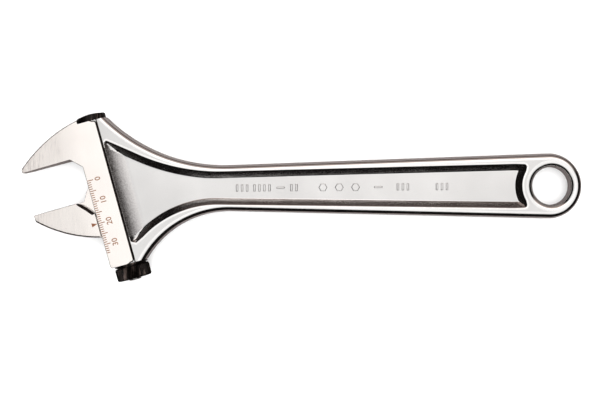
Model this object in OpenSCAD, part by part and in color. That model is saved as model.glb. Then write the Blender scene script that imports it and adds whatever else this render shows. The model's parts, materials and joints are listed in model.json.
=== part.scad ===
// Adjustable wrench with a side nut. Millimetres.
// The origin is the centre of the hanging hole, at mid thickness. +X runs along the handle
// from the jaws to the hole, +Y is the fixed jaw's side, +Z points out of one broad face.
// The head is tilted. In the head's own frame the slide axis is Y (towards the cap),
// the jaws point to -X, and Y = 0 is the fixed jaw's working face.

/* [Handle] */
// Radius of the rounded handle end
end_r = 15; // [14:0.5:16]
// Half width of the handle at its narrowest, next to the head
neck_half = 10.6; // [9.5:0.1:11]
// Distance from the hanging hole to the narrowest place
neck_reach = 148; // [147:0.5:149]
// Half thickness of the rims at the handle end
rim_half_end = 4.8; // [4.4:0.1:5.2]
// Half thickness of the web between the rims
web_half = 2.5; // [2:0.1:3]
// Radius of the hanging hole
hole_r = 8.7; // [7:0.1:9]

/* [Head] */
// Distance along the handle from the hanging hole to the slide axis
head_reach = 207.6; // [207:0.1:208]
// How far the fixed jaw's face lies above the handle's centre line
head_rise = 16.8; // [16.5:0.1:17]
// Tilt of the jaws against the handle
head_tilt = 15; // [14.5:0.1:15.5]
// Half thickness of the ground plate that carries the scale
plate_half = 7; // [6.8:0.1:7.2]
// Distance from the slide axis to the jaw tips
jaw_reach = 36.8; // [34:0.2:40]
// Half thickness of the jaws at their tips
tip_half = 3.8; // [3:0.1:5]

/* [Slide and screw] */
// Jaw opening in the modelled position
opening = 20; // [2:0.5:32]
// Radius of the slide bore
bore_r = 5.5; // [5.3:0.05:5.6]
// Outer radius of the screw thread
thread_r = 3.5; // [3.3:0.05:3.6]
// Advance of the jaw for one turn of the nut
pitch = 2.5; // [2:0.25:3]
// Radius of the side nut over its knurl
nut_r = 8; // [7.6:0.1:8.4]
// Number of knurl ridges on the side nut
nut_ridges = 60; // [24:4:60]
// Radius of the cap at the head of the slide
cap_r = 6.7; // [6.2:0.1:6.9]

/* [Hidden] */
$fn = 96;

// Handle outline
end_x = -0.9;
neck_x = -neck_reach;
flank_top_r = 78;
flank_top_x = -149.8;
flank_low_r = 44.3;
flank_low_x = -148.3;
head_half = 6;
neck_thick = 5.3;

// Recess between the rims
recess_neck = 7.75;
recess_end = 10.3;
recess_top_r = 92.2;
recess_top_x = -151.8;
recess_low_r = 46.7;
recess_low_x = -153.7;
recess_head_u = 3;
recess_top_tip = [4.7, 4.5];
recess_low_tip = [5.5, -44.7];
recess_tip_drop = 1.4;
end_ring_r = 13.4;
ramp_u = 13.3;
ramp_top = 5.9;
hole_round = 2.4;

// Raised figures on the web
mark_high = 0.35;
hexagon_r = 2;
hexagon_x = [-105, -97.5, -90];
dash_half = [1.9, 0.5];
dash_x = [-124.5, -79.5];
bar_half = [0.55, 1.7];
bar_pitch = 2.3;
bar_groups = [[-144.5, 3], [-136.5, 4], [-119.5, 2], [-70.5, 3], [-52.5, 3]];

// Ground plate, in the head's frame
throat_u = -8.65;
step_u = 2.6;
under_step_u = 3.1;
under_step_half = 6.5;
plate_corner_r = 3.4;
cap_seat_w = 14.8;
plate_low_w = -52.8;
jaw_root_u = -7;
jaw_back_r = 67.6;
jaw_back_centre = [6.9, -49.8];
face_end_u = -13.55;
cap_notch_u = -5.9;
cap_room_gap = 0.2;

// Slide and screw, along the slide axis
run_gap = 0.08;
slot_half = 3.05;
tongue_half = 2.9;
carrier_top = 7.6;
carrier_length = 20;
spigot_top = -48.6;
flange_r = 7.7;
flange_thick = 0.85;
washer_thick = 0.45;
washer_r = 6.9;
side_play = 0.05;
nut_top = plate_low_w - flange_thick - washer_thick - side_play;
nut_length = 6;
nut_chamfer = 0.9;
knurl_depth = 0.25;
shank_r = 2.8;
shank_low = nut_top - nut_length - 0.6;
collar_r = 4.6;
collar_top = -46.8;
collar_thick = 0.95;
journal_r = 2;
journal_top = 13.6;
thread_root_r = 2.6;
thread_top = 9;
pin_r = 0.75;
nut_pin_length = 14.4;
nut_pin_w = nut_top - nut_length / 2;
bush_pin_place = [4, -50.7];
bush_pin_low = -5.9;
bush_pin_high = 4.8;
cap_spigot = 4;
cap_rim = 2.6;
cap_dome = 1.1;

// Moving jaw, in the head's frame at zero opening
jaw_plate_u = -8.95;
jaw_low_r = 62.3;
jaw_low_centre = [5.65, 42.5];

// A place in the head's frame, as handle coordinates
function head_point(u, w) = [
    -head_reach + u * cos(head_tilt) - w * sin(head_tilt),
    head_rise + u * sin(head_tilt) + w * cos(head_tilt)
];

// Places children in the head's frame
module in_head() {
    translate([-head_reach, head_rise, 0])
        rotate([0, 0, head_tilt])
            children();
}

// Places children with their Z along the slide axis, at height w
module on_slide(w = 0) {
    in_head()
        translate([0, w, 0])
            rotate([-90, 0, 0])
                children();
}

// A copy on each broad face
module both_faces() {
    children();
    mirror([0, 0, 1])
        children();
}

// ---------- wrench body ----------

module grip_outline() {
    translate([end_x, 0])
        circle(r = end_r);
    polygon([
        [end_x, end_r],
        [neck_x, neck_half],
        [neck_x, -neck_half],
        [end_x, -end_r]
    ]);
    difference() {
        polygon([
            [neck_x, neck_half],
            [neck_x, 33],
            head_point(7.2, cap_seat_w + 1),
            head_point(-4, cap_seat_w + 1),
            head_point(-4, plate_low_w - 1),
            head_point(7.4, plate_low_w - 1),
            [neck_x, -33],
            [neck_x, -neck_half]
        ]);
        translate([flank_top_x, neck_half + flank_top_r])
            circle(r = flank_top_r, $fn = 360);
        translate([flank_low_x, -neck_half - flank_low_r])
            circle(r = flank_low_r, $fn = 240);
    }
}

// Thickness of the forging, seen from the side
module grip_profile() {
    polygon([
        [-216, head_half], [-185, head_half], [neck_x, neck_thick], [20, rim_half_end],
        [20, -rim_half_end], [neck_x, -neck_thick], [-185, -head_half], [-216, -head_half]
    ]);
}

module grip_blank() {
    intersection() {
        linear_extrude(height = 2 * head_half, center = true)
            grip_outline();
        rotate([90, 0, 0])
            linear_extrude(height = 120, center = true)
                grip_profile();
    }
}

module recess_outline() {
    difference() {
        polygon([
            [neck_x, recess_neck], [-16, recess_end], [-12.6, 9.7], [-11.3, 8],
            [-11.3, -8], [-12.6, -9.7], [-16, -recess_end], [neck_x, -recess_neck]
        ]);
        circle(r = end_ring_r);
    }
    difference() {
        polygon([
            [neck_x, recess_neck],
            [neck_x, 23],
            head_point(recess_top_tip[0], recess_top_tip[1]),
            head_point(recess_head_u, recess_top_tip[1] - recess_tip_drop),
            head_point(recess_head_u, recess_low_tip[1] + recess_tip_drop),
            head_point(recess_low_tip[0], recess_low_tip[1]),
            [neck_x, -26],
            [neck_x, -recess_neck]
        ]);
        translate([recess_top_x, recess_neck + recess_top_r])
            circle(r = recess_top_r, $fn = 360);
        translate([recess_low_x, -recess_neck - recess_low_r])
            circle(r = recess_low_r, $fn = 240);
    }
}

// Concave ramp from the web up to the head plate
module recess_ramp() {
    ramp_run = ramp_u - recess_head_u;
    ramp_rise = ramp_top - web_half;
    ramp_r = (ramp_run * ramp_run + ramp_rise * ramp_rise) / (2 * ramp_rise);
    in_head() {
        difference() {
            translate([0, recess_low_tip[1] - 2, 0])
                cube([ramp_u, recess_top_tip[1] - recess_low_tip[1] + 4, ramp_top]);
            translate([ramp_u, 20, web_half + ramp_r])
                rotate([90, 0, 0])
                    cylinder(r = ramp_r, h = 100);
        }
    }
}

// What one face's recess takes off the forging
module recess_room() {
    difference() {
        translate([0, 0, web_half])
            linear_extrude(height = 20)
                recess_outline();
        recess_ramp();
    }
}

module plate_outline() {
    difference() {
        translate([throat_u, plate_low_w - 2])
            square([step_u - throat_u, cap_seat_w - plate_low_w + 4]);
        translate([step_u - plate_corner_r, cap_seat_w - plate_corner_r])
            corner_waste(1);
        translate([step_u - plate_corner_r, plate_low_w + plate_corner_r])
            corner_waste(-1);
    }
}

// What a rounded corner takes off, to the right and above (side 1) or below (side -1)
module corner_waste(side) {
    difference() {
        translate([0, side > 0 ? 0 : -plate_corner_r - 3])
            square([plate_corner_r + 1, plate_corner_r + 3]);
        circle(r = plate_corner_r);
    }
}

module fixed_jaw_outline() {
    intersection() {
        translate(jaw_back_centre)
            circle(r = jaw_back_r, $fn = 360);
        polygon([
            [-jaw_reach, 0], [-jaw_reach, 6], [-28, 18], [cap_notch_u, 18],
            [cap_notch_u, cap_seat_w + 1.2], [-2, cap_seat_w + 1.2], [-2, -5],
            [throat_u, -4.6], [face_end_u, 0]
        ]);
    }
}

// Thickness of a jaw, from the plate to the tip, seen along the slide axis
module jaw_profile(root_u, root_half) {
    polygon([
        [-jaw_reach - 1, -tip_half], [root_u, -root_half], [10, -root_half],
        [10, root_half], [root_u, root_half], [-jaw_reach - 1, tip_half]
    ]);
}

module head_blank() {
    in_head() {
        intersection() {
            linear_extrude(height = 2 * plate_half, center = true)
                union() {
                    plate_outline();
                    fixed_jaw_outline();
                }
            rotate([90, 0, 0])
                linear_extrude(height = 160, center = true)
                    jaw_profile(jaw_root_u, plate_half);
        }
        translate([-4, plate_low_w - 3, -under_step_half])
            cube([4 + under_step_u, cap_seat_w - plate_low_w + 6, 2 * under_step_half]);
    }
}

// What the two seats for the cap and the flange bush take off the forging
module slide_end_seats() {
    in_head() {
        translate([cap_notch_u, cap_seat_w, -20])
            cube([20, 20, 40]);
        translate([-20, plate_low_w - 20, -20])
            cube([36, 20, 40]);
    }
    on_slide(cap_seat_w)
        cylinder(r = cap_r + cap_room_gap, h = 20);
}

// The passage for the jaw's tongue, open on the throat side
module tongue_slot() {
    in_head()
        linear_extrude(height = 2 * slot_half, center = true)
            polygon([
                [-14.2, -2], [-14.2, 0.3], [-12, 4], [-10.2, 6], [-5, 8.2],
                [0, 8.2], [0, plate_low_w - 2], [-14.2, plate_low_w - 2]
            ]);
}

// Rounded edge where the hanging hole meets a broad face
module hole_edge() {
    rotate_extrude()
        translate([hole_r, rim_half_end - hole_round])
            difference() {
                translate([-1, 0])
                    square([hole_round + 1, hole_round + 1]);
                translate([hole_round, 0])
                    circle(r = hole_round);
            }
}

// Plain raised figures on the web: groups of upright bars, hexagons and dashes
module raised_marks() {
    translate([0, 0, web_half]) {
        for (x = hexagon_x)
            translate([x, 0, 0])
                cylinder(r = hexagon_r, h = mark_high, $fn = 6);
        for (x = dash_x)
            raised_bar(x, dash_half);
        for (group = bar_groups)
            for (i = [0 : group[1] - 1])
                raised_bar(group[0] + i * bar_pitch, bar_half);
    }
}

module raised_bar(x, half) {
    translate([x - half[0], -half[1], 0])
        cube([2 * half[0], 2 * half[1], mark_high]);
}

module wrench_body() {
    color("lightgray")
        difference() {
            union() {
                difference() {
                    grip_blank();
                    both_faces()
                        recess_room();
                }
                head_blank();
                both_faces()
                    raised_marks();
            }
            on_slide(plate_low_w - 1)
                cylinder(r = bore_r, h = cap_seat_w - plate_low_w + 2);
            tongue_slot();
            slide_end_seats();
            translate([0, 0, -20])
                cylinder(r = hole_r, h = 40);
            both_faces()
                hole_edge();
            bush_pin_bar();
        }
}

// ---------- moving jaw ----------

module jaw_plate_outline() {
    intersection() {
        translate(jaw_low_centre)
            circle(r = jaw_low_r, $fn = 360);
        polygon([
            [-jaw_reach, 0], [-16.15, 0], [-14.35, -0.7], [-11.85, -3.3],
            [jaw_plate_u, -6.6], [jaw_plate_u, -20], [-jaw_reach, -20]
        ]);
    }
}

module tongue_outline() {
    intersection() {
        translate(jaw_low_centre)
            circle(r = jaw_low_r, $fn = 360);
        polygon([
            [-22, 0], [-13, 0], [-11, 3.7], [-9.4, 5.8], [-4.4, carrier_top],
            [-4.4, carrier_top - carrier_length], [-6.2, carrier_top - carrier_length - 1],
            [-6.2, -20], [-22, -20]
        ]);
    }
}

module moving_jaw() {
    color("gainsboro")
        difference() {
            union() {
                in_head()
                    translate([0, -opening, 0]) {
                        intersection() {
                            linear_extrude(height = 2 * plate_half, center = true)
                                jaw_plate_outline();
                            rotate([90, 0, 0])
                                linear_extrude(height = 160, center = true)
                                    jaw_profile(jaw_root_u, plate_half);
                        }
                        linear_extrude(height = 2 * tongue_half, center = true)
                            tongue_outline();
                    }
                on_slide(carrier_top - carrier_length - opening)
                    cylinder(r = bore_r - run_gap, h = carrier_length);
            }
            on_slide(carrier_top - carrier_length - opening - 1)
                cylinder(r = thread_r + run_gap, h = carrier_length + 2);
        }
}

// ---------- screw ----------

// One section of the thread's ridge: its foot lies inside the core
function thread_ring(turn) = [
    for (p = [[-0.34, thread_root_r - 0.3], [-0.1, thread_r], [0.1, thread_r], [0.34, thread_root_r - 0.3]])
        [p[1] * cos(360 * turn), p[1] * sin(360 * turn), pitch * (turn + p[0])]
];

// The thread's ridge as one swept strip, from z = 0 upwards
module thread_ridge(height) {
    steps_per_turn = 16;
    turns = height / pitch;
    steps = round(turns * steps_per_turn);
    ring = len(thread_ring(0));
    points = [for (i = [0 : steps]) each thread_ring(i / steps_per_turn)];
    sides = [
        for (i = [0 : steps - 1], k = [0 : ring - 1])
            let (a = i * ring + k, b = i * ring + (k + 1) % ring)
                [a, b, b + ring, a + ring]
    ];
    first = [for (k = [ring - 1 : -1 : 0]) k];
    last = [for (k = [0 : ring - 1]) steps * ring + k];
    polyhedron(points = points, faces = concat([first], sides, [last]), convexity = 10);
}

module adjusting_spindle() {
    ridge_low = collar_top + pitch / 2 + 0.2;
    ridge_high = thread_top - pitch / 2;
    color("dimgray")
        difference() {
            union() {
                on_slide(collar_top)
                    cylinder(r = thread_root_r, h = thread_top - collar_top, $fn = 24);
                on_slide(ridge_low)
                    thread_ridge(ridge_high - ridge_low);
                on_slide(thread_top)
                    cylinder(r = journal_r, h = journal_top - thread_top);
                on_slide(collar_top - collar_thick)
                    cylinder(r = collar_r, h = collar_thick);
                on_slide(shank_low)
                    cylinder(r = shank_r, h = collar_top - collar_thick - shank_low);
            }
            nut_pin_bar();
        }
}

module nut_pin_bar() {
    in_head()
        translate([-nut_pin_length / 2, nut_pin_w, 0])
            rotate([0, 90, 0])
                cylinder(r = pin_r, h = nut_pin_length);
}

module nut_pin() {
    color("gray")
        difference() {
            nut_pin_bar();
            in_head()
                translate([-10, nut_pin_w, 0])
                    rotate([0, 90, 0])
                        cylinder(r = pin_r / 2, h = 20);
            in_head()
                translate([-10, nut_pin_w, -0.12])
                    cube([20, 2, 0.24]);
        }
}

module side_nut() {
    core_r = nut_r - knurl_depth;
    foot_r = core_r - 0.1;
    color("#302c2a")
        difference() {
            on_slide(nut_top - nut_length) {
                rotate_extrude()
                    polygon([
                        [0, 0], [core_r - nut_chamfer, 0], [core_r, nut_chamfer],
                        [core_r, nut_length - nut_chamfer], [core_r - nut_chamfer, nut_length],
                        [0, nut_length]
                    ]);
                translate([0, 0, nut_chamfer + 0.1])
                    linear_extrude(height = nut_length - 2 * nut_chamfer - 0.2)
                        for (i = [0 : nut_ridges - 1])
                            rotate(360 * (i + 0.5) / nut_ridges)
                                polygon([
                                    [foot_r, -0.3], [nut_r, -0.08],
                                    [nut_r, 0.08], [foot_r, 0.3]
                                ]);
            }
            on_slide(nut_top - nut_length - 1)
                cylinder(r = shank_r, h = nut_length + 2);
            nut_pin_hole();
        }
}

// The pin's hole runs out through the nut's side
module nut_pin_hole() {
    in_head()
        translate([-nut_r - 1, nut_pin_w, 0])
            rotate([0, 90, 0])
                cylinder(r = pin_r, h = 2 * nut_r + 2);
}

// ---------- slide ends ----------

module bush_pin_bar() {
    in_head()
        translate([bush_pin_place[0], bush_pin_place[1], bush_pin_low])
            cylinder(r = pin_r, h = bush_pin_high - bush_pin_low);
    in_head()
        translate([bush_pin_place[0], bush_pin_place[1], -plate_half])
            cylinder(r = pin_r, h = plate_half);
}

module bush_pin() {
    color("gray")
        in_head()
            translate([bush_pin_place[0], bush_pin_place[1], bush_pin_low])
                cylinder(r = pin_r, h = bush_pin_high - bush_pin_low);
}

module flange_bush() {
    color("#302c2a")
        difference() {
            union() {
                on_slide(plate_low_w)
                    cylinder(r = bore_r, h = spigot_top - plate_low_w);
                on_slide(plate_low_w - flange_thick)
                    cylinder(r = flange_r, h = flange_thick);
            }
            on_slide(plate_low_w - flange_thick - 1)
                cylinder(r = shank_r + side_play, h = 10);
            bush_pin_bar();
        }
}

module thrust_washer() {
    color("#383432")
        on_slide(plate_low_w - flange_thick - washer_thick)
            difference() {
                cylinder(r = washer_r, h = washer_thick);
                translate([0, 0, -1])
                    cylinder(r = shank_r + side_play, h = 3);
            }
}

// Conical spring washer between the screw's collar and the bush
module spring_washer() {
    low = spigot_top + 0.02;
    cone = 0.35;
    thick = 0.3;
    color("gray")
        on_slide(low)
            rotate_extrude()
                polygon([[shank_r + 0.15, cone], [5, 0], [5, thick], [shank_r + 0.15, cone + thick]]);
}

module top_cap() {
    dome_r = (cap_r * cap_r + cap_dome * cap_dome) / (2 * cap_dome);
    color("#302c2a")
        difference() {
            union() {
                on_slide(cap_seat_w - cap_spigot)
                    cylinder(r = bore_r, h = cap_spigot);
                on_slide(cap_seat_w)
                    intersection() {
                        cylinder(r = cap_r, h = cap_rim + cap_dome);
                        translate([0, 0, cap_rim + cap_dome - dome_r])
                            sphere(r = dome_r, $fn = 200);
                    }
            }
            on_slide(cap_seat_w - cap_spigot - 1)
                cylinder(r = journal_r + side_play, h = journal_top - cap_seat_w + cap_spigot + 1.3);
        }
}

wrench_body();
moving_jaw();
adjusting_spindle();
side_nut();
nut_pin();
flange_bush();
bush_pin();
thrust_washer();
spring_washer();
top_cap();
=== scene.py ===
"""Adjustable wrench with a side nut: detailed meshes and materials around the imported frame.

Lengths are in millimetres until a mesh is made. Two plan frames are used:
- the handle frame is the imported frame: x along the handle, y across it, z out of a broad face;
- the head frame has its origin where the slide axis crosses the fixed jaw's face,
  u points towards the handle and w along the slide, towards the cap.
"""
import json
import math

import bmesh
import bpy
import numpy as np
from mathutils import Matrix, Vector
from mathutils.geometry import delaunay_2d_cdt


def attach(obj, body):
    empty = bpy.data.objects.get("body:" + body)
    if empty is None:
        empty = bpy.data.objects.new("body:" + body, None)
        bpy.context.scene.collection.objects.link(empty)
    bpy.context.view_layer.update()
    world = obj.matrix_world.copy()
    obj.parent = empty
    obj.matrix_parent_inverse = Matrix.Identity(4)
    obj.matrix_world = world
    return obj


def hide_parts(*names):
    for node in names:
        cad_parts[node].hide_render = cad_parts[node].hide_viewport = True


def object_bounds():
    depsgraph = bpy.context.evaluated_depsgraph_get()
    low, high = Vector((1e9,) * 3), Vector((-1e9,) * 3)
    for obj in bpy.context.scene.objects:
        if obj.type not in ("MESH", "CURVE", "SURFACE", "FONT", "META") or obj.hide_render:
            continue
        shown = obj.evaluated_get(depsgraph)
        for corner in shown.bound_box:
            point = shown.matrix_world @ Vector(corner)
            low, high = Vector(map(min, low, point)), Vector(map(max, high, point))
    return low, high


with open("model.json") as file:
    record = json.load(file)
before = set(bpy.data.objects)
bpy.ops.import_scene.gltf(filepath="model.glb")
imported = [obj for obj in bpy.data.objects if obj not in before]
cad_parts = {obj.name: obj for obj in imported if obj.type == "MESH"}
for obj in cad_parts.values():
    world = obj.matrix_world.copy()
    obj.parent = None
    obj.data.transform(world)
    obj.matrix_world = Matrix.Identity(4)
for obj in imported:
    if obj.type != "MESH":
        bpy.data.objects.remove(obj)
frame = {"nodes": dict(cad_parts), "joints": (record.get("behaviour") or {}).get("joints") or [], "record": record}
cad_low, cad_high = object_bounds()

MM = 0.001
SLIVER = 0.001  # least height of a triangle, in mm: thinner ones only bridge straight edges

# ---------- sizes ----------

JOINTS = {j["name"]: j for j in frame["joints"]}
MOUNTS = {m["name"]: m for m in frame["record"]["mounts"]}

# Head frame, from the screw's axis and the fixed jaw's face
SLIDE = np.array(JOINTS["nut_turn"]["axis"][:2], float)
SLIDE /= np.linalg.norm(SLIDE)
ACROSS = np.array([SLIDE[1], -SLIDE[0]])
_on_axis = np.array(JOINTS["nut_turn"]["pos_m"][:2], float) / MM
_on_face = np.array(MOUNTS["fixed_jaw_face"]["pos_m"][:2], float) / MM
HEAD = _on_axis + SLIDE * ((_on_face - _on_axis) @ SLIDE)

OPENING = 20.0

# Handle
HOLE_R = MOUNTS["hanging_hole"]["dims"]["r_mm"]
HOLE_ROUND = 2.4
END_R, END_X = 15.0, -0.92
NECK_X, HEAD_X = -148.0, -185.0
FLANK_TOP = (-149.8, 88.6, 78.0)
FLANK_LOW = (-148.3, -54.9, 44.3)
FLANK_ENDS = (-207.5, -189.5)
GRIP_TAILS = ((0, 18.5), (-3.5, 15.5)), ((-3.5, -53.5), (0, -57))
SECTIONS_X = (HEAD_X, NECK_X, 15.0)  # rims and web are this thick at these places
RIM_HALF, WEB_HALF = (6.0, 5.3, 4.8), (3.1, 2.75, 2.3)
EDGE_IN, EDGE_DOWN = 2.5, 3.4
FLAT_MARGINS = (3.0, 3.1, 0.7)  # satin flats keep this far from the outer edge, the hole and the recess

# Recess
RECESS_END, RECESS_END_X = 10.3, -17.0
RECESS_CORNER = (-10.9, 10.1, 1.7)
RECESS_ENDS = (-192.0, -187.5)
RECESS_TOP = (-151.8, 99.95, 92.2)
RECESS_LOW = (-153.7, -54.45, 46.7)
RECESS_TIPS = ((4.7, 4.5), (5.5, -44.7))
RECESS_STEP = ((3.1, 3.2), (3.1, -43.2))
END_RING_R, RING_MOUTH_HALF = 13.4, 6.6
WALL_SLOPE = 0.86
WALL_RUN = 2.9
RAMP_U, RAMP_R = 13.3, 19.0
# Painted shade in the recess: where the darkening beside the step runs from and to, in u
STEP_SHADE_FROM_TO = (2.0, 12.0)
FINE_CORNER_R = 6.5  # the recess's corners get a finer grid out to this distance

# Plain raised figures along the web: (x, number of upright bars), hexagons and dashes
MARK_HIGH, MARK_EDGE = 0.35, 0.28
BAR_GROUPS = ((-144.5, 3), (-136.5, 4), (-119.5, 2), (-70.5, 3), (-52.5, 3))
BAR_HALF = (0.55, 1.7)
BAR_PITCH = 2.3
HEXAGONS, HEXAGON_R = (-105.0, -97.5, -90.0), 2.0
DASHES = (-124.5, -79.5)
DASH_HALF = (1.9, 0.5)

# Ground plate and jaws, in the head frame
PLATE_HALF = 7.0
THROAT_U, STEP_U, UNDER_STEP_U = -8.65, 3.12, 3.05
STEP_CHAMFER, UNDER_CHAMFER = 0.97, 0.45
UNDER_STEP_HALF = 6.5
CAP_SEAT, BUSH_SEAT = 14.8, -52.8
NOTCH_U, COUNTERBORE_R = -5.9, 6.9
FACE_END_U, THROAT_W = -13.55, -4.7
FOOT_U, SHOULDER_U = -6.6, -0.6
FOOT_W, NOTCH_W = BUSH_SEAT - 1.6, CAP_SEAT + 1.9
JAW_REACH, TIP_HALF = 36.8, 3.8
TAPER_START, TAPER_BLEND = -7.0, 10.0
JAW_BACK = (6.9, -49.8, 67.6)
JAW_LOW = (5.65, 42.5, 62.3)
JAW_EDGE_U, JAW_EDGE_W = -8.95, -6.7
JAW_STEP = ((-11.85, -3.3, 6), (-14.35, -0.7, 3), (-16.3, 0, 2))
TONGUE_HALF = 2.9
SLOT_HALF = 3.05
BORE_R = 5.5
CARRIER_R = 5.42
CARRIER_TOP, CARRIER_LOW = 7.6, -12.4

# Screw
THREAD_R, ROOT_R, PITCH = 3.5, 2.6, 2.5
THREAD_LOW, THREAD_HIGH = -46.4, 8.8
COLLAR_R, COLLAR_LOW, COLLAR_TOP = 4.6, -47.75, -46.8
SHANK_R, SHANK_LOW = 2.8, -60.75
JOURNAL_R, JOURNAL_TOP = 2.0, 13.6
NUT_R, NUT_TOP, NUT_LENGTH = 7.99, -54.15, 5.92
NUT_RIDGES, KNURL_DEPTH = 60, 0.38
PIN_R, NUT_PIN_W = 0.75, -57.15
BUSH_PIN = (4.0, -50.7)
FLANGE, FLANGE_R, SPIGOT_TOP = 0.85, 7.7, -48.6
WASHER, WASHER_R = 0.45, 6.9
CAP_R, CAP_RIM, CAP_DOME = 6.7, 2.52, 1.1

# Scale, in the head frame
SCALE_ZERO, SCALE_LAST = -11.5, 34
TICK_START, TICK_SHORT, TICK_LONG, TICK_WIDTH = -8.35, -6.85, -5.6, 0.40
FIGURE_FOOT, FIGURE_SIZE = -2.35, 3.6
MARK_SINK, MARK_PROUD = 0.05, 0.012

# Camera
CAMERA_FAR = 575.0
FRAME_WIDE = 277.4
CAMERA_X, CAMERA_Y = -115.6, -5.71
CAMERA_ROLL = 0.4

# Studio
WARM_WALL_TURN = 70.0
WARM_WALL, WARM_HIGH = (0.27, 0.215, 0.195), (0.50, 0.43, 0.40)
SOFTBOX_SPREAD = 140.0
# The darker tables that reflections see in place of the floor: painted shade of the floor beside the wrench
TABLE_REACH = 26.0
TABLE_HEAD = (-212.0, 0.0, 56.0)
TABLE_BEYOND = ((-330, 10), (40, 10), (40, 330), (-330, 330))
FLOOR_GAP, TABLE_GAP = 0.2, 0.05
LIGHT_X = -0.115
OVERHEAD_HIGH, OVERHEAD_SIZE, OVERHEAD_POWER = 1.25, (2.0, 1.8), 7.1
FILL_HIGH, FILL_SIZE, FILL_POWER = 1.3, (2.6, 2.6), 62


def head_to_plan(uw):
    """Head-frame places as handle-frame places."""
    uw = np.atleast_2d(np.asarray(uw, float))
    return HEAD + uw[:, :1] * ACROSS + uw[:, 1:2] * SLIDE


def plan_to_head(xy):
    """Handle-frame places as head-frame places."""
    d = np.atleast_2d(np.asarray(xy, float)) - HEAD
    return np.stack([d @ ACROSS, d @ SLIDE], 1)


# ---------- plan outlines ----------

def arc(cx, cy, r, start, end, step=0.7):
    """Points on a circle from angle start to end, in degrees."""
    n = max(3, int(abs(math.radians(end - start)) * r / step) + 1)
    a = np.radians(np.linspace(start, end, n))
    return np.stack([cx + r * np.cos(a), cy + r * np.sin(a)], 1)


def arc_over(circle, x0, x1, side):
    """The stretch of a circle between two x values, on its upper (1) or lower (-1) side."""
    cx, cy, r = circle
    a0 = math.degrees(math.acos((x0 - cx) / r)) * side
    a1 = math.degrees(math.acos((x1 - cx) / r)) * side
    return arc(cx, cy, r, a0, a1)


def filleted(points, step):
    """A closed outline through points (x, y, fillet radius), with each corner rounded."""
    out = []
    n = len(points)
    for i, (x, y, r) in enumerate(points):
        p = np.array([x, y])
        if r <= 0:
            out.append(p[None])
            continue
        a = np.array(points[i - 1][:2]) - p
        b = np.array(points[(i + 1) % n][:2]) - p
        la, lb = np.linalg.norm(a), np.linalg.norm(b)
        a, b = a / la, b / lb
        half = math.acos(np.clip(a @ b, -1, 1)) / 2
        cut = min(r / math.tan(half), la * 0.49, lb * 0.49)
        r = cut * math.tan(half)
        centre = p + (a + b) / np.linalg.norm(a + b) * (r / math.sin(half))
        s, e = p + a * cut - centre, p + b * cut - centre
        turn = math.atan2(s[0] * e[1] - s[1] * e[0], s @ e)
        k = max(3, int(abs(turn) * r / step) + 2)
        t = math.atan2(s[1], s[0]) + np.linspace(0, turn, k)
        out.append(centre + r * np.stack([np.cos(t), np.sin(t)], 1))
    return dense(np.concatenate(out), step * 2)


def dense(points, step):
    """The same closed outline with no edge longer than step and no doubled points."""
    out = []
    for p, q in zip(points, np.roll(points, -1, 0)):
        d = np.linalg.norm(q - p)
        if d < 1e-6:
            continue
        n = max(1, int(math.ceil(d / step)))
        out.append(p + (q - p) * (np.arange(n) / n)[:, None])
    return np.concatenate(out)


def inward(outline):
    """Unit normals to the left of a closed outline, lengthened at corners so that offsets stay parallel."""
    e = np.roll(outline, -1, 0) - outline
    e /= np.linalg.norm(e, axis=1)[:, None]
    n = np.stack([-e[:, 1], e[:, 0]], 1)
    m = n + np.roll(n, 1, 0)
    m /= np.linalg.norm(m, axis=1)[:, None]
    return m / np.maximum((m * n).sum(1), 0.5)[:, None]


def distance(points, outline, closed=True):
    """Distance from each point to an outline."""
    a, b = (outline, np.roll(outline, -1, 0)) if closed else (outline[:-1], outline[1:])
    d = b - a
    length2 = (d * d).sum(1)
    best = np.full(len(points), np.inf)
    for lo in range(0, len(points), 2000):
        p = points[lo:lo + 2000, None, :]
        t = np.clip(((p - a) * d).sum(2) / length2, 0, 1)
        gap = np.linalg.norm(p - a - t[..., None] * d, axis=2)
        best[lo:lo + 2000] = gap.min(1)
    return best


def inside(points, loops):
    """Whether each point is inside a set of loops, by the even-odd rule."""
    odd = np.zeros(len(points), bool)
    for loop in loops:
        a, b = loop, np.roll(loop, -1, 0)
        for lo in range(0, len(points), 2000):
            p = points[lo:lo + 2000]
            up = (a[:, 1] > p[:, 1:2]) != (b[:, 1] > p[:, 1:2])
            with np.errstate(divide="ignore", invalid="ignore"):
                x = a[:, 0] + (p[:, 1:2] - a[:, 1]) / (b[:, 1] - a[:, 1]) * (b[:, 0] - a[:, 0])
            odd[lo:lo + 2000] ^= (up & (p[:, :1] < x)).sum(1) % 2 == 1
    return odd


def shrunk(outline, gap):
    """The outline moved in by gap, without the stretches that its corners swallow."""
    moved = outline + inward(outline) * gap
    keep = distance(moved, outline) > gap * 0.985
    moved = moved[keep]
    spacing = np.linalg.norm(np.roll(moved, -1, 0) - moved, axis=1)
    return moved[spacing > 0.15]


def grid_points(loops, step):
    """Staggered grid points inside the loops, clear of their edges."""
    every = np.concatenate(loops)
    lo, hi = every.min(0), every.max(0)
    xs = np.arange(lo[0], hi[0], step)
    ys = np.arange(lo[1], hi[1], step * 0.866)
    x, y = np.meshgrid(xs, ys)
    x = x + (np.arange(len(ys)) % 2)[:, None] * step / 2
    p = np.stack([x.ravel(), y.ravel()], 1)
    p = p[inside(p, loops)]
    for loop in loops:
        p = p[distance(p, loop) > step * 0.6]
    return p


# ---------- meshes ----------

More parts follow.
